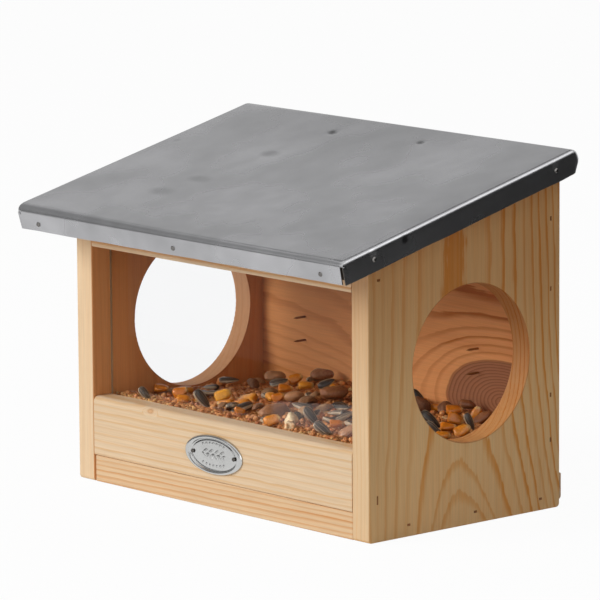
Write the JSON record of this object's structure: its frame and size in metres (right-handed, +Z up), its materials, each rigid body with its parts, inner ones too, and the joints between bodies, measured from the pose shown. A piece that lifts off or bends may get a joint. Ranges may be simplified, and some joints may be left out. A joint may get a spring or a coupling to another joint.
{
  "type": "squirrel feeder box",
  "caption": "Wooden squirrel feeder box with round side entries, a clear front pane over a low lip, a rear mounting batten and a sheet-covered sloping roof that opens on rear hinges.",
  "frame": {"origin": "middle of the floor board's underside, halfway along the depth of the side panels", "axes": "+X to the right seen from the front, along the width; +Y to the back, towards the wall; +Z up"},
  "size_m": [0.2514, 0.1729, 0.1847],
  "materials": {
    "pine_wood": "planed, unfinished",
    "galvanised_sheet": "dull galvanised",
    "clear_pane": "clear",
    "steel_fittings": "zinc plated",
    "badge_metal": "satin",
    "seeds": "matte"
  },
  "bodies": {
    "box": {"left_side_panel": "pine_wood", "right_side_panel": "pine_wood", "floor_board": "pine_wood", "front_lip_board": "pine_wood", "front_top_rail": "pine_wood", "back_panel": "pine_wood", "window_pane": "clear_pane", "mounting_batten": "pine_wood", "keyhole_plate_left": "steel_fittings", "keyhole_plate_right": "steel_fittings", "keyhole_screws": "steel_fittings", "side_brads_left": "steel_fittings", "side_brads_right": "steel_fittings", "lip_staples": "steel_fittings", "batten_brads": "steel_fittings", "badge_plate": "badge_metal", "badge_pins": "badge_metal", "seed_mix": "seeds", "hinge_body_screws": "steel_fittings", "hinge_body_leaf_left": "steel_fittings", "hinge_body_leaf_right": "steel_fittings", "hinge_pin_left": "steel_fittings", "hinge_pin_right": "steel_fittings"},
    "roof": {"roof_board": "pine_wood", "roof_sheet": "galvanised_sheet", "roof_flange_nails": "steel_fittings", "hinge_roof_screws": "steel_fittings", "hinge_roof_leaf_left": "steel_fittings", "hinge_roof_leaf_right": "steel_fittings"}
  },
  "joints": [
    {"name": "roof_hinge", "type": "hinge", "parent": "box", "child": "roof", "pos_m": [0, 0.0684, 0.1704], "axis": [-1, 0, 0], "range_deg": [0, 60]}
  ]
}
